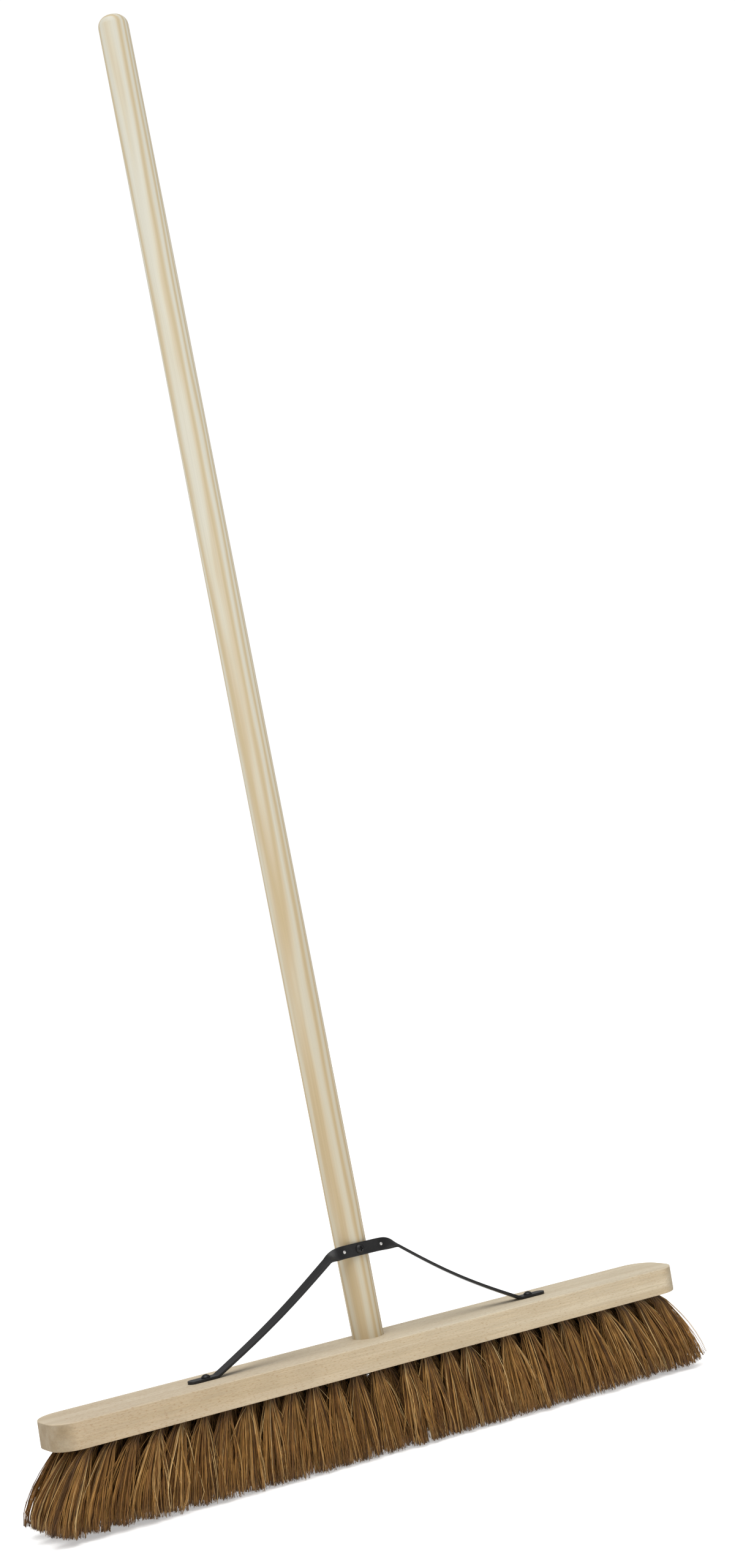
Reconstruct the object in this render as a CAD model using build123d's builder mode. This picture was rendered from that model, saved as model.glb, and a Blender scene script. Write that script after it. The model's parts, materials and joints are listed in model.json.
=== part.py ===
"""Push broom: a flat wooden stock filled with coir tufts, a round wooden handle in a
socket, and a twisted steel stay that braces the handle against the stock.

Frame: millimetres, +Z up, origin on the floor at the centre of the brush face. The stock
runs along X, the broom is pushed towards -Y, and the handle leans back towards +Y.
"""

import os
from math import atan, cos, radians, sin, tan

from build123d import *

# --- Stock ---
stock_length = 600
stock_width = 60
stock_thickness = 22
stock_corner_radius = 22
stock_edge_rounding = 0.8

# --- Tufts: folded bundles of coir, each held in a drilled hole by a wire staple ---
bristle_length = 70
row_count = 5
row_pitch = 11.5
column_pitch = 20
centre_gap = 29
columns_each_side = 14
middle_tuft_row = 2
hole_radius = 4.25
hole_depth = 12
tuft_neck_radius = 4
tuft_tip_radius = 6.2
flex_gap = 0.3
end_lean = 23
row_lean = 3

# --- Staples ---
wire = 1
staple_width = 6.2
staple_leg = 8
fold_thickness = 2.2

# --- Handle ---
handle_length = 1220
handle_radius = 14
handle_lean = 4.5
handle_end_rounding = 10
socket_depth = 18
socket_end_radius = 13.4
socket_wall = 1
taper_top = 110

# --- Stay: one flat strip ---
strip_width = 11
strip_thickness = 2.4
stay_height = 74
plate_half_length = 15
corner_x = 28
leg_start_x = 37
foot_inner_x = 148
foot_outer_x = 173
foot_screw_x = 157
foot_bend_radius = 4
twist_sections = 6

# --- Wood screws ---
head_radius = 3.8
head_height = 2.5
shank_radius = 1.9
screw_length = 12
screw_tip_length = 4
screw_hole_radius = 2.2
recess_width = 0.9
recess_length = 4
recess_depth = 1.4

# --- Worked out from the dimensions above ---
rows = range(1, row_count + 1)
stock_top = bristle_length + stock_thickness
hinge_height = bristle_length - tuft_neck_radius - flex_gap
hole_top = bristle_length + hole_depth - hinge_height
taper = (handle_radius - socket_end_radius) / (taper_top + socket_depth)
radius_at_stay = handle_radius - taper * (taper_top - stay_height)
stay_reach = radius_at_stay + strip_thickness / 2
lean = radians(handle_lean)
plate_lean = lean - atan(taper)
handle_offset = stay_reach * cos(lean) - stay_height * sin(lean)

# The handle's plane: its origin is where the axis meets the top of the stock, Z runs up it.
handle_plane = Plane(
    origin=(0, handle_offset, stock_top),
    x_dir=(1, 0, 0),
    z_dir=(0, sin(lean), cos(lean)),
)

# The plane of the stay's plate, halfway through its thickness: Y runs up, Z points forward.
plate_plane = Plane(
    origin=handle_plane.from_local_coords(Vector(0, -stay_reach, stay_height)),
    x_dir=(1, 0, 0),
    z_dir=(0, -cos(plate_lean), sin(plate_lean)),
)


def side_view(seat):
    """The plane that holds a seat's axis: X across the axis, Y along it."""
    return Plane(origin=seat.origin, x_dir=seat.x_dir, z_dir=-seat.y_dir)


def steps_from_middle(row):
    """A row's place counted from the middle row: negative in front, positive behind."""
    return row - (row_count + 1) / 2


def row_columns(row):
    """Where the tufts stand along a row. Even rows are half a pitch out of step, and the
    tufts that would break into the handle's socket are left out. One row has a tuft in
    the middle, which closes the view through the brush below the socket."""
    odd = row % 2 == 1
    first = centre_gap / 2 + (0 if odd else column_pitch / 2)
    count = columns_each_side if odd else columns_each_side - 1
    from_socket_y = row_pitch * steps_from_middle(row) - handle_offset
    keep_out = handle_radius + socket_wall + hole_radius
    half = [first + column_pitch * i for i in range(count)]
    half = [x for x in half if abs(Vector(x, from_socket_y)) > keep_out]
    middle = [0] if row == middle_tuft_row else []
    return [-x for x in reversed(half)] + middle + half


def tuft_planes(row):
    """One plane for each tuft of a row: its origin is on the row's line of flex and Z runs
    up the tuft. The tufts fan out towards the stock's ends, and the outer rows lean out."""
    outermost = centre_gap / 2 + column_pitch * (columns_each_side - 1)
    lean_y = radians(row_lean * steps_from_middle(row))
    planes = []
    for x in row_columns(row):
        side = 1 if x > 0 else -1
        lean_x = side * radians(end_lean) * (abs(x) / outermost) ** 1.5
        up = Vector(-tan(lean_x), -tan(lean_y), 1).normalized()
        across = Vector(up.Z, 0, -up.X).normalized()
        origin = (x, row_pitch * steps_from_middle(row), hinge_height)
        planes.append(Plane(origin=origin, x_dir=across, z_dir=up))
    return planes


def wood_screw(seat):
    """A pan-head wood screw with a cross recess. Its head rests on the seat plane."""
    with BuildPart() as screw:
        with BuildSketch(side_view(seat)):
            with BuildLine():
                Polyline(
                    (0, head_height),
                    (0, -screw_length),
                    (shank_radius, screw_tip_length - screw_length),
                    (shank_radius, 0),
                    (head_radius, 0),
                    (head_radius, head_height / 4),
                )
                ThreePointArc(
                    (head_radius, head_height / 4),
                    (0.6 * head_radius, 0.82 * head_height),
                    (0, head_height),
                )
            make_face()
        revolve(axis=Axis(seat.origin, seat.z_dir))
        with Locations(seat.offset(head_height)):
            for size in ((recess_length, recess_width), (recess_width, recess_length)):
                Box(*size, 2 * recess_depth, mode=Mode.SUBTRACT)
    return screw.part


def staple_row(row):
    """The wire staples of one row. Each is a U whose legs are driven into the wood."""
    crown = hole_top - fold_thickness - wire
    with BuildPart() as staples:
        for seat in tuft_planes(row):
            across = Plane(origin=seat.origin, x_dir=seat.y_dir, z_dir=seat.x_dir)
            with BuildSketch(across):
                with Locations((0, crown)):
                    Rectangle(staple_width, wire, align=(Align.CENTER, Align.MIN))
                with GridLocations(staple_width - wire, 0, 2, 1):
                    with Locations((0, crown)):
                        Rectangle(wire, staple_leg, align=(Align.CENTER, Align.MIN))
            extrude(amount=wire / 2, both=True)
    return staples.part


def tuft_root_row(row):
    """The folded ends of one row's tufts, which fill their holes down to the underside."""
    with BuildPart() as roots:
        with Locations(*tuft_planes(row)):
            Cylinder(hole_radius, hole_top, align=(Align.CENTER, Align.CENTER, Align.MIN))
        split(bisect_by=Plane.XY.offset(bristle_length), keep=Keep.TOP)
        add(staple_row(row), mode=Mode.SUBTRACT)
    return roots.part


def single_tuft():
    """The free length of one tuft, round-headed at the line of flex and wider at the tip."""
    length = 1.1 * bristle_length
    with BuildPart() as tuft:
        with BuildSketch(Plane.XZ):
            with BuildLine():
                Polyline(
                    (0, tuft_neck_radius),
                    (0, -length),
                    (tuft_tip_radius, -length),
                    (tuft_neck_radius, 0),
                )
                CenterArc((0, 0), tuft_neck_radius, 0, 90)
            make_face()
        revolve(axis=Axis.Z)
    return tuft.part


def tuft_row(row):
    """The free lengths of one row's tufts, trimmed level at the floor."""
    tuft = single_tuft()
    with BuildPart() as tufts:
        with Locations(*tuft_planes(row)):
            add(tuft)
        split(bisect_by=Plane.XY, keep=Keep.TOP)
    return tufts.part


def pole():
    """The handle before its screw hole: a tapered socket end, a straight pole and a dome."""
    top = handle_length - socket_depth
    with BuildPart() as solid:
        with BuildSketch(side_view(handle_plane)):
            Polygon(
                (0, -socket_depth),
                (socket_end_radius, -socket_depth),
                (handle_radius, taper_top),
                (handle_radius, top),
                (0, top),
                align=None,
            )
        revolve(axis=Axis(handle_plane.origin, handle_plane.z_dir))
        top_edge = solid.edges().filter_by(GeomType.CIRCLE).sort_by(Axis.Z)[-1]
        fillet(top_edge, radius=handle_end_rounding)
    return solid.part


def write(part, name):
    """Labels a finished piece and writes its STEP file."""
    part.label = name
    export_step(part, f"parts/{name}.step")


os.makedirs("parts", exist_ok=True)

# --- Screws ---
left_foot_screw = wood_screw(Plane((-foot_screw_x, 0, stock_top + strip_thickness)))
right_foot_screw = wood_screw(Plane((foot_screw_x, 0, stock_top + strip_thickness)))
handle_screw = wood_screw(plate_plane.offset(strip_thickness / 2))
write(left_foot_screw, "stay_foot_screw_left")
write(right_foot_screw, "stay_foot_screw_right")
write(handle_screw, "stay_handle_screw")

# --- Handle ---
with BuildPart() as handle:
    add(pole())
    add(handle_screw, mode=Mode.SUBTRACT)
write(handle.part, "handle")

# --- Stay: flat feet and sloping legs, a quarter twist each side, a plate on the handle ---
foot_z = stock_top + strip_thickness / 2
plate_z = plate_plane.origin.Z
leg_slope = (plate_z - foot_z) / (foot_inner_x - corner_x)
leg_start_z = plate_z - leg_slope * (leg_start_x - corner_x)
twist_start = Vector(plate_half_length, 0, plate_z)
twist_corner = Vector(corner_x, 0, plate_z)
twist_end = Vector(leg_start_x, 0, leg_start_z)

with BuildPart() as stay:
    # Half of the plate, against the handle.
    with BuildSketch(Plane(plate_plane.origin, x_dir=plate_plane.y_dir, z_dir=(1, 0, 0))):
        Rectangle(strip_width, strip_thickness)
    extrude(amount=plate_half_length)
    # The twist turns the strip from upright on the handle to flat along Y.
    for step in range(twist_sections):
        t = step / (twist_sections - 1)
        centre = twist_start * (1 - t) ** 2 + twist_corner * 2 * t * (1 - t) + twist_end * t**2
        along = (twist_corner - twist_start) * (1 - t) + (twist_end - twist_corner) * t
        turn = plate_lean + (radians(90) - plate_lean) * t
        raised = Vector(-along.Z, 0, along.X).normalized()
        with BuildSketch(Plane(centre, x_dir=raised * cos(turn) + Vector(0, sin(turn), 0), z_dir=along)):
            Rectangle(strip_width, strip_thickness)
    loft()
    # The leg and its foot, bent from the flat.
    with BuildSketch(Plane.XZ):
        with BuildLine():
            FilletPolyline(
                (leg_start_x, leg_start_z),
                (foot_inner_x, foot_z),
                (foot_outer_x, foot_z),
                radius=foot_bend_radius,
            )
        trace(line_width=strip_thickness)
    extrude(amount=strip_width / 2, both=True)
    foot_corners = stay.edges().filter_by(Axis.Z).group_by(Axis.X)[-1]
    fillet(foot_corners, radius=0.95 * strip_width / 2)
    mirror(about=Plane.YZ)
    # Screw holes.
    with Locations((-foot_screw_x, 0, stock_top), (foot_screw_x, 0, stock_top)):
        Hole(screw_hole_radius)
    with Locations(plate_plane):
        Hole(screw_hole_radius)
write(stay.part, "stay")

# --- Stock: a slab with round corners, bored for the handle, the tufts and the screws ---
with BuildPart() as stock:
    with BuildSketch(Plane.XY.offset(bristle_length)):
        RectangleRounded(stock_length, stock_width, stock_corner_radius)
    extrude(amount=stock_thickness)
    fillet(stock.faces().filter_by(Axis.Z).edges(), radius=stock_edge_rounding)
    add(pole(), mode=Mode.SUBTRACT)
    for row in rows:
        with Locations(*tuft_planes(row)):
            Cylinder(
                hole_radius,
                hole_top,
                align=(Align.CENTER, Align.CENTER, Align.MIN),
                mode=Mode.SUBTRACT,
            )
        add(staple_row(row), mode=Mode.SUBTRACT)
    add([left_foot_screw, right_foot_screw], mode=Mode.SUBTRACT)
write(stock.part, "stock")

# --- Tufts and staples, one node of each for every row ---
for row in rows:
    write(tuft_row(row), f"tuft_row_{row}")
    write(tuft_root_row(row), f"tuft_roots_row_{row}")
    write(staple_row(row), f"staples_row_{row}")
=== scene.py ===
"""Push broom: a pale hardwood stock filled with coir, a turned pine handle and a steel stay.

Metres, +Z up. The stock lies along X, the broom is pushed towards -Y, and the floor is at
the tips of the coir. The wood, screws and staples are the frame's own solids with a finish;
the coir and the stay are surfaces worked out here.
"""

import json
from math import atan, cos, pi, radians, sin, tan

import bpy
import numpy as np
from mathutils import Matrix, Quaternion, Vector


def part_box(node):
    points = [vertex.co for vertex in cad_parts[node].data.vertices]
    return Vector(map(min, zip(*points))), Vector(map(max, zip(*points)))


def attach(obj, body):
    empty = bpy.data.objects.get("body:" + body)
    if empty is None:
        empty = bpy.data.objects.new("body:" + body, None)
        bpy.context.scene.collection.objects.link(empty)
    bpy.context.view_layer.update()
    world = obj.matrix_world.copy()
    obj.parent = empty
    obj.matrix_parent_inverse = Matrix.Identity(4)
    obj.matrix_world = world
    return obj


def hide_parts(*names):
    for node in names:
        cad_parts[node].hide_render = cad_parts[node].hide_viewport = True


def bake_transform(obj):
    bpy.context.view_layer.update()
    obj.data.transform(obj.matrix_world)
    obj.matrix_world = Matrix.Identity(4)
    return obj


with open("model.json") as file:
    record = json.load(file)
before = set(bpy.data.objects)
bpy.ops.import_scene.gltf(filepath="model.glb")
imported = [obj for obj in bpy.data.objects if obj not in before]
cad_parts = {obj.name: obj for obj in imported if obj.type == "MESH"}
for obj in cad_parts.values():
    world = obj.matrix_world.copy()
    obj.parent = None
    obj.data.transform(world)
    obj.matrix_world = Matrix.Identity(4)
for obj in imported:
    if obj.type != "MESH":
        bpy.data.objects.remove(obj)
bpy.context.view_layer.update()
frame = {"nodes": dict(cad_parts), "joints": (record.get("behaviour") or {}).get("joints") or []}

# --- Sizes shared with the frame ---
stock_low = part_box("stock")[0]
stay_low, stay_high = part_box("stay")
handle_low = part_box("handle")[0]
underside = stock_low.z
place_of_hinge = {joint["child"]: joint["pos_m"] for joint in frame["joints"]}
rows = range(1, 6)
middle_row = 3
row_y = {row: place_of_hinge[f"bristles_row_{row}"][1] for row in rows}
hinge_height = place_of_hinge[f"bristles_row_{middle_row}"][2]
column_pitch = 0.020
centre_gap = 0.029
columns_each_side = 14
middle_tuft_row = 2
handle_keep_out = 0.01925
handle_lean = radians(4.5)
socket_depth = 0.018
socket_end_radius = 0.0134
# The handle's axis in Y, where it enters the stock.
handle_axis_y = (handle_low.y + socket_end_radius) + socket_depth * sin(handle_lean)
outermost_column = centre_gap / 2 + column_pitch * (columns_each_side - 1)
end_lean = radians(23)
row_lean = radians(3)

# --- Coir ---
fibres_per_tuft = {1: 260, 2: 220, 3: 220, 4: 220, 5: 260}
locks_per_tuft = 105
fibre_radius = 0.00026
# A bundle's radius at the hole's mouth and at its tips along the row. Across the row it
# spreads less, by depth_share.
hole_fill_radius = 0.0040
tip_spread = 0.0140
depth_share = 0.6
root_height = underside + 0.0095
# The tufts at the ends have more fibres, and the last one opens wider.
end_tuft_share = 1.5
end_spread_share = 1.15
# How much of the height that a fibre loses by leaning shows at its tip.
rise_share = 0.8
# The power by which a bundle opens: most tufts, and the ones that fill in for the tufts
# missing at the socket, which lie within filling_reach and lean towards it.
opening_power = 2.0
filling_power = 6.0
filling_reach = 0.045
filling_lean = radians(8)
leaning_power = 1.35
# How far the tufts on both sides of the centre gap lean towards the middle.
gap_lean = {-1: radians(4), 1: radians(-3)}
# How far locks spread, as a share of the tuft's spread, and how much they cross: at the
# ends and elsewhere.
lock_spread = (0.96, 0.82)
lock_crossing = (0.12, 0.26)
lock_wave_height = 0.0011
own_wave_height = 0.0004
# Strays leave their lock, by stray_reach in X and Y, and wave more. Broken fibres end
# somewhere in broken_run.
stray_share = 0.06
stray_reach = (0.75, 0.35)
stray_wave = 4.0
broken_share = 0.06
broken_run = (0.35, 0.9)
# The cut: the lowest tips, and how far above them a lock's and a fibre's own tip may be.
lowest_tip = 0.0004
lock_cut = 0.0022
own_cut = 0.0014
middle_shade = 0.41
# How much of the frame's lean the loose coir takes: at the left end, at the right end and
# from front to back.
left_lean_share = 1.10
right_lean_share = 0.86
row_lean_share = 0.7
# Past this distance from the middle, a fibre is drawn back, so that the ends stay trim.
trim_start = 0.314
trim_start_y = 0.040
trim_room = 0.006
# Where the rings of a fibre lie, from its root in the hole (below 0) to its tip (1).
ring_places = np.array([-1.0, 0.0, 0.10, 0.22, 0.36, 0.51, 0.67, 0.84, 1.0])
corners_round = 3

# --- Stay ---
strip_width = 0.011
strip_thickness = 0.0024
strip_edge_radius = 0.0006
plate_half_length = {"left": 0.012, "right": 0.0155}
twist_corner_x = {"left": 0.026, "right": 0.031}
leg_start_past_corner = 0.007
leg_turn = radians(80)
pip_x = {"left": 0.0150, "right": 0.0205}
pip_radius = 0.0016
pip_height = 0.0005
pip_corners = 16
pip_rim_sink = 0.0001
pip_root = 0.0005
foot_inner_x = 0.148
foot_outer_x = 0.173
foot_bend_radius = 0.004
plate_lean = radians(4.23)
leg_sag = {"left": 0.0026, "right": 0.0034}


# ---------------------------------------------------------------- helpers

def linear(code):
    """An sRGB hex colour as linear red, green, blue and alpha."""
    channels = np.array([int(code[i : i + 2], 16) / 255 for i in (1, 3, 5)])
    dark = channels / 12.92
    light = ((channels + 0.055) / 1.055) ** 2.4
    return (*np.where(channels <= 0.04045, dark, light), 1.0)


def add_node(tree, kind, settings=None, inputs=None, stops=None):
    """Adds a node, sets its properties, and sets or links its inputs. Hex strings become
    colours, and stops are a colour ramp's (place, hex colour) pairs."""
    node = tree.nodes.new("ShaderNode" + kind)
    for name, value in (settings or {}).items():
        setattr(node, name, value)
    if stops:
        ramp = node.color_ramp.elements
        while len(ramp) < len(stops):
            ramp.new(0.5)
        for element, (place, code) in zip(ramp, stops):
            element.position = place
            element.color = linear(code)
    for key, value in (inputs or {}).items():
        if isinstance(value, bpy.types.NodeSocket):
            tree.links.new(value, node.inputs[key])
        elif isinstance(value, str):
            node.inputs[key].default_value = linear(value)
        else:
            node.inputs[key].default_value = value
    return node


def new_material(name):
    """A material with only an output node. Returns it and its node tree."""
    material = bpy.data.materials.new(name)
    material.use_nodes = True
    tree = material.node_tree
    tree.nodes.clear()
    return material, tree


def close_material(tree, shader):
    """Links a shader to the material's output."""
    add_node(tree, "OutputMaterial", inputs={"Surface": shader.outputs[0]})


def new_piece(name, points, quads, triangles, material):
    """A smooth mesh object from arrays of points, four-cornered and three-cornered faces."""
    mesh = bpy.data.meshes.new(name)
    corners = np.concatenate([quads.ravel(), triangles.ravel()]).astype(np.int32)
    sizes = np.repeat([4, 3], [len(quads), len(triangles)])
    mesh.vertices.add(len(points))
    mesh.vertices.foreach_set("co", points.astype(np.float32).ravel())
    mesh.loops.add(len(corners))
    mesh.loops.foreach_set("vertex_index", corners)
    mesh.polygons.add(len(sizes))
    mesh.polygons.foreach_set("loop_start", (np.cumsum(sizes) - sizes).astype(np.int32))
    mesh.update(calc_edges=True)
    mesh.polygons.foreach_set("use_smooth", np.ones(len(sizes), bool))
    mesh.materials.append(material)
    piece = bpy.data.objects.new(name, mesh)
    bpy.context.scene.collection.objects.link(piece)
    return piece


def give_attribute(piece, name, values):
    """Stores one number for each vertex, for the material to read."""
    attribute = piece.data.attributes.new(name, "FLOAT", "POINT")
    attribute.data.foreach_set("value", values.astype(np.float32).ravel())


# ---------------------------------------------------------------- materials

def noise(tree, place, scale, detail, turn=(0.0, 0.0, 0.0)):
    """Soft noise from 0 to 1. The scale is one number, or one for each axis."""
    if isinstance(scale, tuple):
        mapping = {"Vector": place, "Rotation": turn, "Scale": scale}
        place = add_node(tree, "Mapping", inputs=mapping).outputs[0]
        scale = 1.0
    inputs = {"Vector": place, "Scale": scale, "Detail": detail}
    return add_node(tree, "TexNoise", inputs=inputs).outputs["Fac"]


def ramp(tree, value, stops):
    """A value turned into a colour."""
    return add_node(tree, "ValToRGB", inputs={"Fac": value}, stops=stops).outputs["Color"]


def ranged(tree, value, source, target, smooth=False):
    """A value moved from the source range to the target range."""
    settings = {"interpolation_type": "SMOOTHSTEP"} if smooth else None
    inputs = {
        "Value": value, "From Min": source[0], "From Max": source[1],
        "To Min": target[0], "To Max": target[1],
    }
    return add_node(tree, "MapRange", settings, inputs).outputs[0]


def product(tree, first, second):
    """Two values multiplied."""
    return add_node(tree, "Math", {"operation": "MULTIPLY"}, {0: first, 1: second}).outputs[0]


def mixed(tree, share, first, second):
    """A share of the way from the first colour to the second."""
    inputs = {"Factor": share, 6: first, 7: second}
    return add_node(tree, "Mix", {"data_type": "RGBA"}, inputs).outputs[2]


def tinted(tree, share, colour, tint):
    """A colour multiplied by a tint, by a share of the way."""
    settings = {"data_type": "RGBA", "blend_type": "MULTIPLY"}
    return add_node(tree, "Mix", settings, {"Factor": share, 6: colour, 7: tint}).outputs[2]


def bumped(tree, height, strength, distance):
    """A bent normal for small relief."""
    inputs = {"Height": height, "Strength": strength, "Distance": distance}
    return add_node(tree, "Bump", inputs=inputs).outputs[0]


def own_number(tree, name):
    """A number that the piece carries for each vertex."""
    settings = {"attribute_type": "GEOMETRY", "attribute_name": name}
    return add_node(tree, "Attribute", settings).outputs["Fac"]


def planed_rubberwood():
    """Rubberwood, planed and sanded and left bare: a dull pale surface with broad soft
    streaks along the stock and short dark pores that the plane has opened."""
    material, tree = new_material("planed_rubberwood")
    place = add_node(tree, "TexCoord").outputs["Object"]
    axes = add_node(tree, "SeparateXYZ", inputs={"Vector": place}).outputs
    # Streaks about 12 mm wide and 0.4 m long.
    streaks = noise(tree, place, (2.5, 80, 80), 3.0)
    base = ramp(
        tree, streaks,
        [(0.30, "#bca988"), (0.48, "#c5b395"), (0.62, "#d0c1a6"), (0.75, "#c2b08f")],
    )
    # Grain lines about 1.2 mm apart, and blotches 30 mm across where the sanding took more.
    lines = noise(tree, place, (22, 830, 830), 2.0)
    line_shade = ranged(tree, lines, (0.3, 0.7), (0.90, 1.05))
    blotch_shade = ranged(tree, noise(tree, place, 33.0, 2.0), (0.3, 0.7), (0.95, 1.04))
    shaded = tinted(tree, 1.0, base, product(tree, line_shade, blotch_shade))
    # Pores: dashes about 3 mm long and 0.3 mm wide that run a few degrees off the edges,
    # denser towards the left end.
    pores = noise(tree, place, (300, 1900, 1900), 1.0, turn=(0.0, radians(3), 0.0))
    pore_core = ranged(tree, pores, (0.55, 0.70), (0.0, 1.0), smooth=True)
    pore_depth = ranged(tree, axes["X"], (-0.30, 0.20), (0.62, 0.40))
    # The round ends show end grain, which has no dashes and is darker: partly its own
    # colour, partly painted shade for the weaker light on the ends.
    from_middle = add_node(tree, "Math", {"operation": "ABSOLUTE"}, {0: axes["X"]}).outputs[0]
    end_grain = ranged(tree, from_middle, (0.280, 0.294), (0.0, 1.0), smooth=True)
    along_only = ranged(tree, end_grain, (0.0, 1.0), (1.0, 0.0))
    pore = product(tree, pore_core, product(tree, pore_depth, along_only))
    # The top is paler: painted light, for the light from above and the white sheen
    # on it. It shows no end grain.
    top_edge = (0.0908, 0.0918)
    with_painted_top_light = mixed(tree, ranged(tree, axes["Z"], top_edge, (0.0, 0.40)), shaded, "#dbd3bf")
    below_top = ranged(tree, axes["Z"], top_edge, (1.0, 0.0))
    # The left half is a little darker and greyer: painted shade, for the light that
    # falls off towards the left end.
    left_painted_shade = ranged(tree, axes["X"], (-0.30, 0.05), (1.0, 0.0))
    with_left_painted_shade = tinted(tree, left_painted_shade, with_painted_top_light, "#f7f3f1")
    with_end_grain_and_shade = tinted(tree, product(tree, end_grain, below_top), with_left_painted_shade, "#cfcdc8")
    coloured = mixed(tree, pore, with_end_grain_and_shade, "#9c7a52")
    relief = add_node(tree, "Math", {"operation": "SUBTRACT"}, {0: lines, 1: pore}).outputs[0]
    shader = add_node(
        tree, "BsdfPrincipled",
        inputs={"Base Color": coloured, "Roughness": ranged(tree, lines, (0, 1), (0.58, 0.72)),
                "IOR": 1.5, "Specular IOR Level": 0.3,
                "Normal": bumped(tree, relief, 0.35, 0.0001)},
    )
    close_material(tree, shader)
    return material


def turned_pine():
    """Pine, turned on a dowel machine and left bare: cream wood whose growth rings, cut
    almost along the grain, draw long tan stripes with soft edges."""
    material, tree = new_material("turned_pine")
    place = add_node(tree, "TexCoord").outputs["Object"]
    # The pith runs along local Z, 38 mm off to one side and not quite parallel with the
    # handle, so the stripes drift across it.
    along = add_node(
        tree, "Mapping", {"vector_type": "TEXTURE"},
        {"Vector": place, "Location": (0.021, 0.032, 0.092),
         "Rotation": (-handle_lean, 0.004, 0.0)},
    ).outputs[0]
    # Slow wander of the rings, over about 0.25 m.
    slow_place = add_node(tree, "Mapping", inputs={"Vector": along, "Scale": (60, 60, 4)})
    wander = add_node(
        tree, "TexNoise", inputs={"Vector": slow_place.outputs[0], "Scale": 1.0, "Detail": 2.0}
    ).outputs["Color"]
    pushed = add_node(tree, "VectorMath", {"operation": "SCALE"}, {0: wander, "Scale": 0.0050})
    moved = add_node(tree, "VectorMath", {"operation": "ADD"}, {0: along, 1: pushed.outputs[0]})
    # Rings 4 mm wide: the wave repeats every 0.314 of its own units.
    rings = add_node(
        tree, "TexWave",
        {"wave_type": "RINGS", "rings_direction": "Z", "wave_profile": "SIN"},
        {"Vector": moved.outputs[0], "Scale": 0.314 / 0.0040},
    ).outputs["Fac"]
    ring_colour = ramp(
        tree, rings, [(0.0, "#d9d5c5"), (0.35, "#d7d0bb"), (0.75, "#d1c2a5"), (1.0, "#ccbb98")]
    )
    # Fine lines 0.8 mm apart and some hundreds of millimetres long.
    lines = noise(tree, along, (1200, 1200, 6), 2.0)
    shaded = tinted(tree, 1.0, ring_colour, ranged(tree, lines, (0.3, 0.7), (0.95, 1.02)))
    # The pole is a little darker and warmer towards the stock.
    height = add_node(tree, "SeparateXYZ", inputs={"Vector": along}).outputs["Z"]
    low = ranged(tree, height, (0.0, 0.9), (0.55, 0.0), smooth=True)
    shader = add_node(
        tree, "BsdfPrincipled",
        inputs={"Base Color": tinted(tree, low, shaded, "#dccdb4"),
                "Roughness": ranged(tree, rings, (0, 1), (0.50, 0.62)),
                "IOR": 1.5, "Specular IOR Level": 0.35,
                "Normal": bumped(tree, lines, 0.25, 0.0001)},
    )
    close_material(tree, shader)
    return material


def black_enamelled_steel(name, base, roughness):
    """Mild steel dipped in black enamel and stoved: a dark satin skin with a faint orange
    peel about 1.5 mm across, greyed by dust. Where the vice gripped the stay, a pip carries
    a painted glint: bright bare-steel colour that stands in for its highlight."""
    material, tree = new_material(name)
    place = add_node(tree, "TexCoord").outputs["Object"]
    peel = noise(tree, place, 650.0, 2.0)
    dust = noise(tree, place, 90.0, 4.0)
    colour = ramp(tree, dust, [(0.35, base), (0.60, "#171617"), (0.80, "#282625")])
    rough = ranged(tree, dust, (0, 1), (roughness - 0.08, roughness + 0.14))
    # Painted glint: the pips' tops turn to bright bare steel, standing in for a highlight.
    painted_glint = own_number(tree, "painted_glint")
    polished = add_node(tree, "Mix", inputs={"Factor": painted_glint, 2: rough, 3: 0.38}).outputs[0]
    shader = add_node(
        tree, "BsdfPrincipled",
        inputs={"Base Color": mixed(tree, painted_glint, colour, "#e2dfdc"), "Roughness": polished,
                "Metallic": painted_glint, "IOR": 1.5, "Specular IOR Level": 0.35,
                "Normal": bumped(tree, peel, 0.4, 0.0002)},
    )
    close_material(tree, shader)
    return material


def galvanised_wire():
    """Staple wire with a zinc coat: dull bright metal, clouded along its drawn length."""
    material, tree = new_material("galvanised_wire")
    place = add_node(tree, "TexCoord").outputs["Object"]
    cloud = noise(tree, place, 400.0, 3.0)
    shader = add_node(
        tree, "BsdfPrincipled",
        inputs={"Base Color": ramp(tree, cloud, [(0.35, "#a9abad"), (0.7, "#c9cbcc")]),
                "Roughness": ranged(tree, cloud, (0, 1), (0.28, 0.5)), "Metallic": 1.0},
    )
    close_material(tree, shader)
    return material


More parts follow.
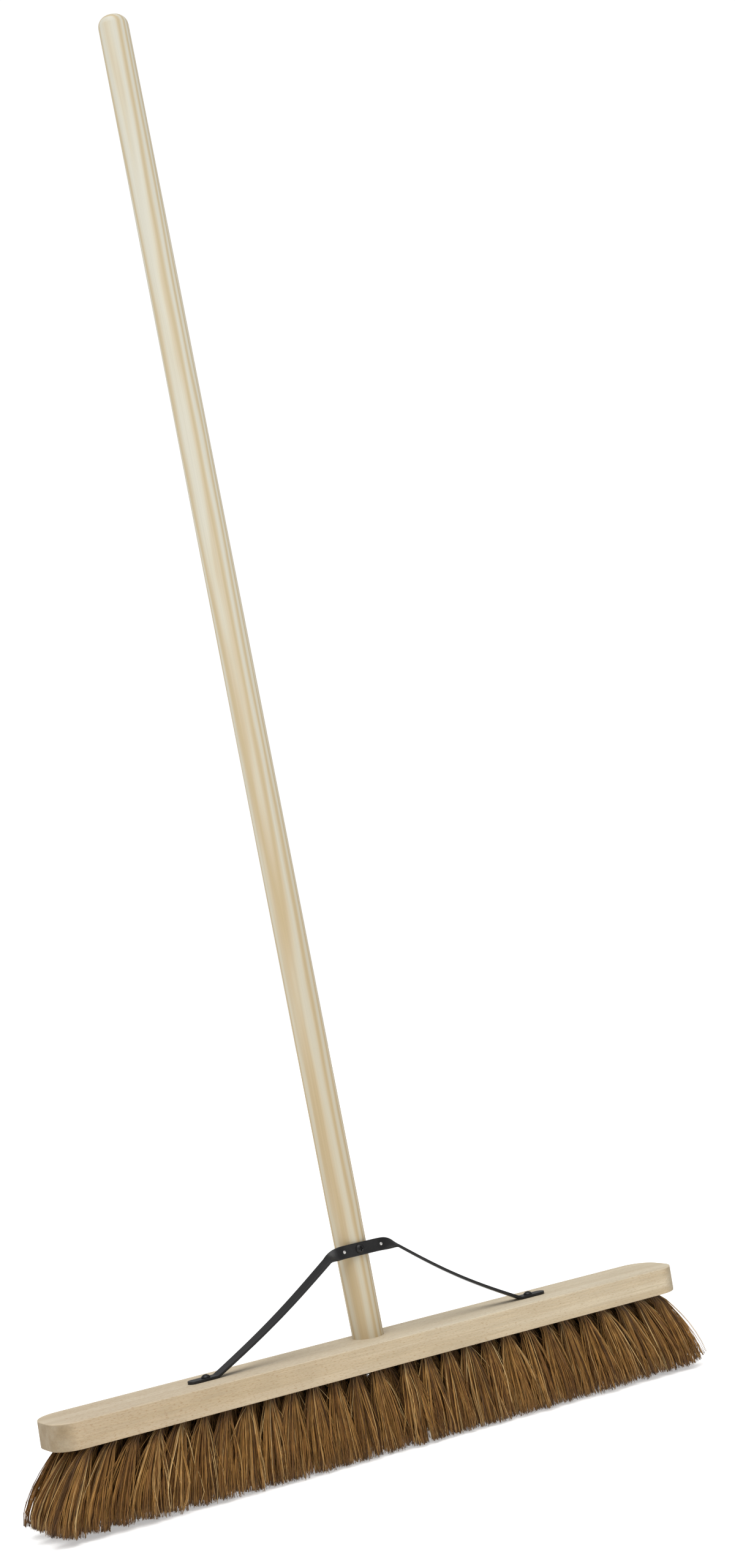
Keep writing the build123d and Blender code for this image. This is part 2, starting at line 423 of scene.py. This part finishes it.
def coir_fibre():
    """Coir: retted coconut husk, combed and cut. Each fibre has its own brown, from dark
    tobacco to straw, and a slight gloss. Its root is darker in painted shade, and its cut end
    is darker, partly painted shade and partly the cut's own colour."""
    material, tree = new_material("coir_fibre")
    colour = ramp(
        tree, own_number(tree, "fibre_shade"),
        [(0.0, "#583912"), (0.25, "#825726"), (0.5, "#a7783a"), (0.75, "#c49450"),
         (1.0, "#e0be84")],
    )
    # Uneven colour along a fibre, a patch every 6 mm or so.
    place = add_node(tree, "TexCoord").outputs["Object"]
    patch = noise(tree, place, 160.0, 2.0)
    patched = tinted(tree, 1.0, colour, ranged(tree, patch, (0.3, 0.7), (0.82, 1.15)))
    # Painted shade: the roots are darker, where the stock shades them, and the last
    # millimetre is darker, partly painted shade under the brush, partly the cut end's own colour.
    painted_root_and_tip_shade = ramp(
        tree, own_number(tree, "fibre_run"),
        [(0.0, "#8c8c8c"), (0.18, "#e6e6e6"), (0.60, "#ffffff"), (0.95, "#e4e4e4"),
         (0.985, "#a8a49c")],
    )
    shader = add_node(
        tree, "BsdfPrincipled",
        inputs={"Base Color": tinted(tree, 1.0, patched, painted_root_and_tip_shade),
                "Roughness": ranged(tree, patch, (0, 1), (0.42, 0.62)),
                "IOR": 1.5, "Specular IOR Level": 0.45},
    )
    close_material(tree, shader)
    return material


def studio_paper():
    """Matt white background paper on a light table, which glows through it a little."""
    material, tree = new_material("studio_paper")
    place = add_node(tree, "TexCoord").outputs["Object"]
    tooth = noise(tree, place, 40.0, 2.0)
    shader = add_node(
        tree, "BsdfPrincipled",
        inputs={"Base Color": ramp(tree, tooth, [(0.3, "#f4f4f3"), (0.7, "#f7f7f6")]),
                "Roughness": 0.9, "Specular IOR Level": 0.1,
                "Emission Color": "#ffffff", "Emission Strength": 0.4},
    )
    close_material(tree, shader)
    return material


# ---------------------------------------------------------------- coir

def row_columns(row, side):
    """Where a row's tufts stand on one side of the middle. Even rows are half a pitch out
    of step, and no tuft stands under the handle's socket. One row has a tuft in the
    middle, which goes with its right half."""
    odd = row % 2 == 1
    first = centre_gap / 2 + (0 if odd else column_pitch / 2)
    count = columns_each_side if odd else columns_each_side - 1
    half = first + column_pitch * np.arange(count)
    from_socket = row_y[row] - handle_axis_y
    half = side * half[np.hypot(half, from_socket) > handle_keep_out]
    return np.append(0.0, half) if row == middle_tuft_row and side > 0 else half


def tubes(line, thickness, heading):
    """Thin tubes round many lines at once, as points, four-cornered faces and triangles.
    At each place of a line a ring of corners lies square to it, and its first corner is
    the one nearest to the line's heading. A triangle closes each end."""
    tangent = np.gradient(line, axis=1)
    tangent /= np.linalg.norm(tangent, axis=2, keepdims=True)
    level = np.stack([np.cos(heading), np.sin(heading), 0 * heading], 1)[:, None]
    across = level - (level * tangent).sum(2, keepdims=True) * tangent
    across /= np.linalg.norm(across, axis=2, keepdims=True)
    other = np.cross(tangent, across)
    turn = 2 * pi * np.arange(corners_round) / corners_round
    ring = np.cos(turn)[:, None] * across[:, :, None] + np.sin(turn)[:, None] * other[:, :, None]
    points = line[:, :, None] + thickness[:, :, None, None] * ring

    number = np.arange(points[..., 0].size).reshape(points.shape[:3])
    onward = np.roll(number, -1, axis=2)
    quads = np.stack([number[:, :-1], onward[:, :-1], onward[:, 1:], number[:, 1:]], -1)
    triangles = np.concatenate([number[:, 0, ::-1], number[:, -1]])
    return points.reshape(-1, 3), quads.reshape(-1, 4), triangles


def half_row(row, side, material):
    """The coir of one row on one side of the middle, as one piece.

    A fibre starts at a point of its tuft's hole, given by a place in the unit disc. From
    the mouth down, its distance from the tuft's middle line grows as 1 - (1 - u)^2, where
    u is the share of the way to the tip, so the bundle opens fast and then hangs almost
    straight, and the middle line itself leans out as 1 - (1 - u)^1.35. Tufts near the
    handle's socket open at once instead, as 1 - (1 - u)^6. Fibres keep to locks, which
    share a place, a wave and a shade. Each fibre is the sum of its lock's wave and one of
    its own, both sines that grow from nothing at the mouth. Fibres are about equally
    long, so the ones that lean further end higher. A ring of corners round this line,
    which narrows towards the tip, makes the surface."""
    rng = np.random.default_rng([row, side + 1])
    columns = row_columns(row, side)
    tufts = len(columns)
    # The two end tufts are fuller, and keep their shape: their locks don't cross and
    # nothing leaves them.
    at_end = np.abs(columns) > outermost_column - 1.2 * column_pitch
    each = fibres_per_tuft[row] * np.where(at_end, end_tuft_share, 1.0)
    tuft = np.repeat(np.arange(tufts), each.astype(int))
    count = len(tuft)
    lock = rng.integers(locks_per_tuft, size=count)
    many_locks = (tufts, locks_per_tuft)

    # Each tuft's lean, spread and shade.
    lean_x = side * end_lean * (np.abs(columns) / outermost_column) ** 1.5
    closing = gap_lean[side] * (np.abs(columns) < centre_gap / 2 + 0.001)
    # Near the handle's socket tufts are missing, and the ones round it fill in for them.
    from_socket = np.hypot(columns, row_y[row] - handle_axis_y)
    filling = (from_socket < filling_reach) & (row > 1)
    closing = np.where(filling & (columns != 0), filling_lean, closing)
    lean_share = left_lean_share if side < 0 else right_lean_share
    free_lean = lean_share * lean_x - side * closing + rng.normal(0, radians(1.6), tufts)
    lean_y = row_lean_share * row_lean * (row - middle_row) + rng.normal(0, radians(1.0), tufts)
    spread = tip_spread * rng.uniform(0.88, 1.12, tufts)
    spread[np.abs(columns) > outermost_column - 0.001] = end_spread_share * tip_spread
    tuft_shade = rng.normal(0, 0.03, tufts)
    power = np.where(filling, filling_power, opening_power)[tuft, None]

    def places(*shape, power):
        """Random places in the unit disc."""
        reach, angle = rng.uniform(0, 1, shape) ** power, rng.uniform(0, 2 * pi, shape)
        return np.stack([reach * np.cos(angle), reach * np.sin(angle)], -1)

    def waves(*shape, height, spread, turns):
        """Random sines: height, number of turns, and a phase for X and for Y."""
        return (
            height * rng.lognormal(0, spread, shape),
            rng.uniform(*turns, shape),
            rng.uniform(0, 2 * pi, shape),
            rng.uniform(0, 2 * pi, shape),
        )

    lock_disc = places(*many_locks, power=0.45)
    crossing = np.where(at_end, *lock_crossing)[:, None, None]
    lock_tip = np.where(at_end, *lock_spread)[:, None, None] * lock_disc
    lock_tip += crossing * rng.normal(0, 1, (*many_locks, 2))
    disc = lock_disc[tuft, lock] + rng.normal(0, 0.03, (count, 2))
    disc /= np.linalg.norm(disc, axis=1, keepdims=True).clip(min=1)
    stray = (rng.uniform(0, 1, count) < stray_share) & ~at_end[tuft]
    tip_disc = lock_tip[tuft, lock] + rng.normal(0, 0.035, (count, 2))
    tip_disc += stray[:, None] * rng.normal(0, 1, (count, 2)) * stray_reach
    outward = side * tip_disc[:, 0]
    tip_disc[:, 0] = side * np.where(at_end[tuft], outward.clip(max=1.03), outward)
    cut = lowest_tip + lock_cut * rng.uniform(0, 1, many_locks)[tuft, lock]
    cut += own_cut * rng.uniform(0, 1, count) ** 1.5
    broken = rng.uniform(0, 1, count) < broken_share
    tip_share = np.where(broken, rng.uniform(*broken_run, count), 1.0)

    drop = underside - cut
    reach_x = np.tan(free_lean)[tuft] * drop + spread[tuft] * tip_disc[:, 0]
    reach_y = np.tan(lean_y)[tuft] * drop + depth_share * spread[tuft] * tip_disc[:, 1]
    rise = rise_share * (np.sqrt(drop**2 + reach_x**2 + reach_y**2) - drop)

    u = ring_places[None, :] * tip_share[:, None]
    u[:, 0] = 0
    opening = 1 - (1 - u) ** power
    leaning = 1 - (1 - u) ** leaning_power
    height = underside - u * (drop - rise)[:, None]
    height[:, 0] = root_height
    inside = (height - hinge_height).clip(min=0)
    up_x, up_y = np.tan(lean_x)[tuft, None], np.tan(row_lean * (row - middle_row))
    lean_reach_x = (np.tan(free_lean)[tuft] * drop)[:, None] * leaning
    lean_reach_y = (np.tan(lean_y)[tuft] * drop)[:, None] * leaning
    wide = spread[tuft, None] * opening
    in_hole = hole_fill_radius * (1 - opening)
    x = columns[tuft, None] - up_x * inside + lean_reach_x
    y = row_y[row] - up_y * inside + lean_reach_y
    x += disc[:, :1] * in_hole + tip_disc[:, :1] * wide
    y += disc[:, 1:] * in_hole + depth_share * tip_disc[:, 1:] * wide

    lock_waves = waves(*many_locks, height=lock_wave_height, spread=0.45, turns=(0.4, 1.4))
    own_waves = waves(count, height=own_wave_height, spread=0.5, turns=(0.7, 1.7))
    for height_of, turns_of, phase_x, phase_y in (
        [value[tuft, lock] for value in lock_waves],
        [own_waves[0] * np.where(stray, stray_wave, 1.0), *own_waves[1:]],
    ):
        grown = height_of[:, None] * u**0.9
        x += grown * np.sin(2 * pi * turns_of[:, None] * u + phase_x[:, None])
        y += grown * np.sin(2 * pi * turns_of[:, None] * u + phase_y[:, None])
    for value, start, room in ((x, trim_start, trim_room), (y, trim_start_y, trim_room)):
        past = (np.abs(value) - start).clip(min=0)
        value -= np.sign(value) * (past - room * np.tanh(past / room))
    line = np.stack([x, y, height], 2)

    heading = rng.uniform(0, 2 * pi, count)
    thickness = fibre_radius * rng.lognormal(0, 0.25, count)[:, None] * (1 - 0.3 * u)
    points, quads, triangles = tubes(line, thickness, heading)
    name = f"coir_row_{row}_{'left' if side < 0 else 'right'}"
    piece = new_piece(name, points, quads, triangles, material)
    shade = middle_shade + tuft_shade[tuft] + rng.normal(0, 0.23, many_locks)[tuft, lock]
    shade += rng.normal(0, 0.11, count) + np.where(stray, 0.22, 0.0)
    each_vertex = np.ones((count, len(ring_places), corners_round))
    give_attribute(piece, "fibre_shade", shade.clip(0, 1)[:, None, None] * each_vertex)
    give_attribute(piece, "fibre_run", u[:, :, None] * each_vertex)
    return piece


# ---------------------------------------------------------------- stay

def steps(count):
    """Even steps from 0 to just before 1, as a column."""
    return np.linspace(0, 1, count)[:-1, None]


def strip_profile():
    """The strip's section: a rectangle with rounded corners, as places across its width
    and its thickness. Each flat has a point just inside each of its ends."""
    half_width, half_thick = strip_width / 2, strip_thickness / 2
    inner = np.array([half_width, half_thick]) - strip_edge_radius
    turn = np.radians(np.linspace(0, 90, 5))
    arc = np.stack([np.cos(turn), np.sin(turn)], 1) * strip_edge_radius + inner
    first = np.concatenate([[(half_width, 0.0)], arc, [(0.93 * inner[0], half_thick)]])
    second = first[::-1][:-1] * (-1, 1)
    upper = np.concatenate([first, second])
    lower = -upper
    return np.concatenate([upper, [(-half_width, 0.0)], lower[1:]])


def stay_surface(material):
    """The stay: the strip's section carried from the left foot's tip to the right one's.

    The line is flat over the plate, then a quadratic curve whose tangent turns down into
    the leg. The leg sags below its chord as a half sine, and an arc leads to the foot.
    The section's width starts upright at the plate, turns to leg_turn over the curve, and
    comes to lie along Y at the foot. At the tips the width follows a half
    circle. On each side the front of the plate has a pip: a dome whose height falls as
    1 - r^2 from its middle to its rim."""
    foot_z = stay_low.z + strip_thickness / 2
    plate_z = stay_high.z - (strip_width * cos(plate_lean) + strip_thickness * sin(plate_lean)) / 2
    tip_radius = strip_width / 2

    def half(end):
        """The line from the middle of the plate to one tip: places in X and Z, the turn
        of the width, and its share of the full width."""
        corner = np.array([twist_corner_x[end], plate_z])
        fall = atan((plate_z - foot_z) / (foot_inner_x - corner[0]))
        bow = atan(pi * leg_sag[end] / (foot_inner_x - corner[0]) * cos(fall))
        off, down = fall + bow, fall - bow
        leg_start = corner + leg_start_past_corner * np.array([cos(off), -sin(off)])
        bend_reach = foot_bend_radius * tan(down / 2)
        bend_centre = np.array([foot_inner_x + bend_reach, foot_z + foot_bend_radius])
        leg_end = np.array([foot_inner_x, foot_z]) + bend_reach * np.array([-cos(down), sin(down)])
        plate_end = np.array([plate_half_length[end], plate_z])

        t = steps(5)
        plate = np.concatenate([plate_end[0] * t, plate_z + 0 * t], 1)
        t = steps(29)
        twist = plate_end * (1 - t) ** 2 + 2 * corner * t * (1 - t) + leg_start * t**2
        turned = 0.4 * t[:, 0] + 0.6 * t[:, 0] ** 2 * (3 - 2 * t[:, 0])
        t = steps(33)
        leg = leg_start + (leg_end - leg_start) * t
        leg -= leg_sag[end] * np.sin(pi * t) * (sin(fall), cos(fall))
        settled = t[:, 0]
        swing = np.linspace(down, 0, 9)[:-1, None]
        bend = bend_centre - foot_bend_radius * np.concatenate([np.sin(swing), np.cos(swing)], 1)
        flat_end = foot_outer_x - tip_radius
        foot_x = bend_centre[0] + (flat_end - bend_centre[0]) * steps(5)
        foot = np.concatenate([foot_x, foot_z + 0 * foot_x], 1)
        # The tip stops just short of a quarter turn, and a flat cap closes it.
        swing = np.linspace(0, 0.47 * pi, 12)[:, None]
        tip = np.concatenate([flat_end + tip_radius * np.sin(swing), foot_z + 0 * swing], 1)
        line = np.concatenate([plate, twist, leg, bend, foot, tip])
        turn = np.concatenate([
            np.full(len(plate), plate_lean),
            plate_lean + (leg_turn - plate_lean) * turned,
            leg_turn + (pi / 2 - leg_turn) * settled,
            np.full(len(bend) + len(foot) + len(tip), pi / 2),
        ])
        share = np.ones(len(line))
        share[-len(tip) :] = np.cos(swing[:, 0])
        return line, turn, share

    right, right_turn, right_share = half("right")
    left, left_turn, left_painted_shade = half("left")
    line = np.concatenate([left[:0:-1] * (-1, 1), right])
    turn = np.concatenate([left_turn[:0:-1], right_turn])
    share = np.concatenate([left_painted_shade[:0:-1], right_share])

    places = np.stack([line[:, 0], 0 * turn, line[:, 1]], 1)
    tangent = np.gradient(places, axis=0)
    tangent /= np.linalg.norm(tangent, axis=1, keepdims=True)
    raised = np.stack([-tangent[:, 2], 0 * turn, tangent[:, 0]], 1)
    across = raised * np.cos(turn)[:, None] + np.sin(turn)[:, None] * (0, 1, 0)
    through = np.cross(tangent, across)
    profile = strip_profile()
    strip = (
        places[:, None]
        + profile[None, :, :1] * share[:, None, None] * across[:, None]
        + profile[None, :, 1:] * through[:, None]
    )
    rings, sides = strip.shape[:2]
    number = np.arange(rings * sides).reshape(rings, sides)
    onward = np.roll(number, -1, axis=1)
    quads = [np.stack([number[:-1], onward[:-1], onward[1:], number[1:]], -1).reshape(-1, 4)]
    pole = rings * sides
    triangles = [
        np.stack([onward[0], number[0], np.full(sides, pole)], 1),
        np.stack([number[-1], onward[-1], np.full(sides, pole + 1)], 1),
    ]
    points = [strip.reshape(-1, 3), strip[[0]].mean(1), strip[[-1]].mean(1)]
    # The painted glint's share at each point: none on the strip itself.
    painted_glint = [np.zeros(pole + 2)]

    # A pip: a middle point, rings of a dome, a rim sunk in the strip and a point under it.
    place = np.array([0.3, 0.55, 0.8, 1.0])
    around = 2 * pi * np.arange(pip_corners) / pip_corners
    start = pole + 2
    for x in (-pip_x["left"], pip_x["right"]):
        i = np.argmin(np.abs(line[:, 0] - x))
        seat = places[i] + through[i] * strip_thickness / 2
        rise = pip_height * (1 - place**2) - pip_rim_sink * (place == 1)
        flat = np.cos(around)[:, None] * tangent[i] + np.sin(around)[:, None] * across[i]
        dome = seat + pip_radius * place[:, None, None] * flat + rise[:, None, None] * through[i]
        top, under = seat + pip_height * through[i], seat - pip_root * through[i]
        number = start + np.arange(dome.shape[0] * pip_corners).reshape(-1, pip_corners)
        onward = np.roll(number, -1, axis=1)
        last = number.max() + 1
        quads.append(
            np.stack([number[:-1], number[1:], onward[1:], onward[:-1]], -1).reshape(-1, 4)
        )
        triangles.append(np.stack([number[0], onward[0], np.full(pip_corners, last)], 1))
        triangles.append(np.stack([onward[-1], number[-1], np.full(pip_corners, last + 1)], 1))
        points += [dome.reshape(-1, 3), top[None], under[None]]
        # The painted glint: full on the pip's top, fading to none at its rim.
        painted_glint += [np.repeat([1.0, 0.9, 0.4, 0.0], pip_corners), [1.0, 0.0]]
        start = last + 2
    piece = new_piece(
        "stay_strip", np.concatenate(points), np.concatenate(quads), np.concatenate(triangles),
        material,
    )
    give_attribute(piece, "painted_glint", np.concatenate(painted_glint))
    return piece


# ---------------------------------------------------------------- finishes on the frame's solids

def finish_node(name, material):
    """Gives a CAD node its finish."""
    slots = frame["nodes"][name].material_slots
    for slot in slots:
        slot.material = material


rubberwood = planed_rubberwood()
pine = turned_pine()
strip_enamel = black_enamelled_steel("black_enamelled_strip", "#0d0d0e", 0.38)
screw_enamel = black_enamelled_steel("black_enamelled_screws", "#0b0b0c", 0.36)
zinc_wire = galvanised_wire()
coir = coir_fibre()

finish_node("stock", rubberwood)
finish_node("handle", pine)
for screw in ("stay_foot_screw_left", "stay_foot_screw_right", "stay_handle_screw"):
    finish_node(screw, screw_enamel)
for row in rows:
    finish_node(f"staples_row_{row}", zinc_wire)

stay = stay_surface(strip_enamel)
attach(stay, "head")
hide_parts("stay")

for row in rows:
    for side in (-1, 1):
        piece = half_row(row, side, coir)
        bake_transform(piece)
        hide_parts(f"tuft_row_{row}", f"tuft_roots_row_{row}")

# ---------------------------------------------------------------- studio

floor_half = 6.0
corners = np.array([(-1, -1, 0), (1, -1, 0), (1, 1, 0), (-1, 1, 0)]) * floor_half
square, no_triangles = np.array([[0, 1, 2, 3]]), np.empty((0, 3), int)
floor = new_piece("floor", corners, square, no_triangles, studio_paper())

world = bpy.data.worlds.new("studio")
bpy.context.scene.world = world
world.use_nodes = True
room = world.node_tree
room.nodes.clear()
# The room lights the broom as a dim grey tent, while the backdrop itself is seen white.
seen = add_node(room, "LightPath")
dim = add_node(room, "Background", inputs={"Color": "#ffffff", "Strength": 0.45})
white = add_node(room, "Background", inputs={"Color": "#ffffff", "Strength": 1.05})
tent = add_node(
    room, "MixShader",
    inputs={0: seen.outputs["Is Camera Ray"], 1: dim.outputs[0], 2: white.outputs[0]},
)
add_node(room, "OutputWorld", inputs={"Surface": tent.outputs[0]})


def add_light(name, kind, location, aim, power, **settings):
    """A light at location that faces aim."""
    data = bpy.data.lights.new(name, kind)
    data.energy = power
    for setting, value in settings.items():
        setattr(data, setting, value)
    light = bpy.data.objects.new(name, data)
    light.location = location
    light.rotation_mode = "QUATERNION"
    light.rotation_quaternion = (Vector(aim) - Vector(location)).to_track_quat("-Z", "Y")
    bpy.context.scene.collection.objects.link(light)


add_light("overhead", "SUN", (-0.4, -0.6, 2.4), (0, 0, 0), 1.85, angle=radians(50))
add_light("softbox", "AREA", (-1.7, -1.5, 1.6), (0, 0, 0.4), 6.0, size=0.7)

camera_data = bpy.data.cameras.new("camera")
camera_data.lens = 54.54
camera_data.sensor_width = 36.0
camera = bpy.data.objects.new("camera", camera_data)
camera.location = (-0.924, -1.813, 0.4425)
camera_aim = Vector((0.096, 0.030, 0.5598))
camera_roll = radians(-9.13)
camera.rotation_mode = "QUATERNION"
level = (camera_aim - camera.location).to_track_quat("-Z", "Y")
camera.rotation_quaternion = level @ Quaternion((0, 0, 1), camera_roll)
bpy.context.scene.collection.objects.link(camera)
bpy.context.scene.camera = camera
bpy.context.scene.view_settings.view_transform = "Standard"
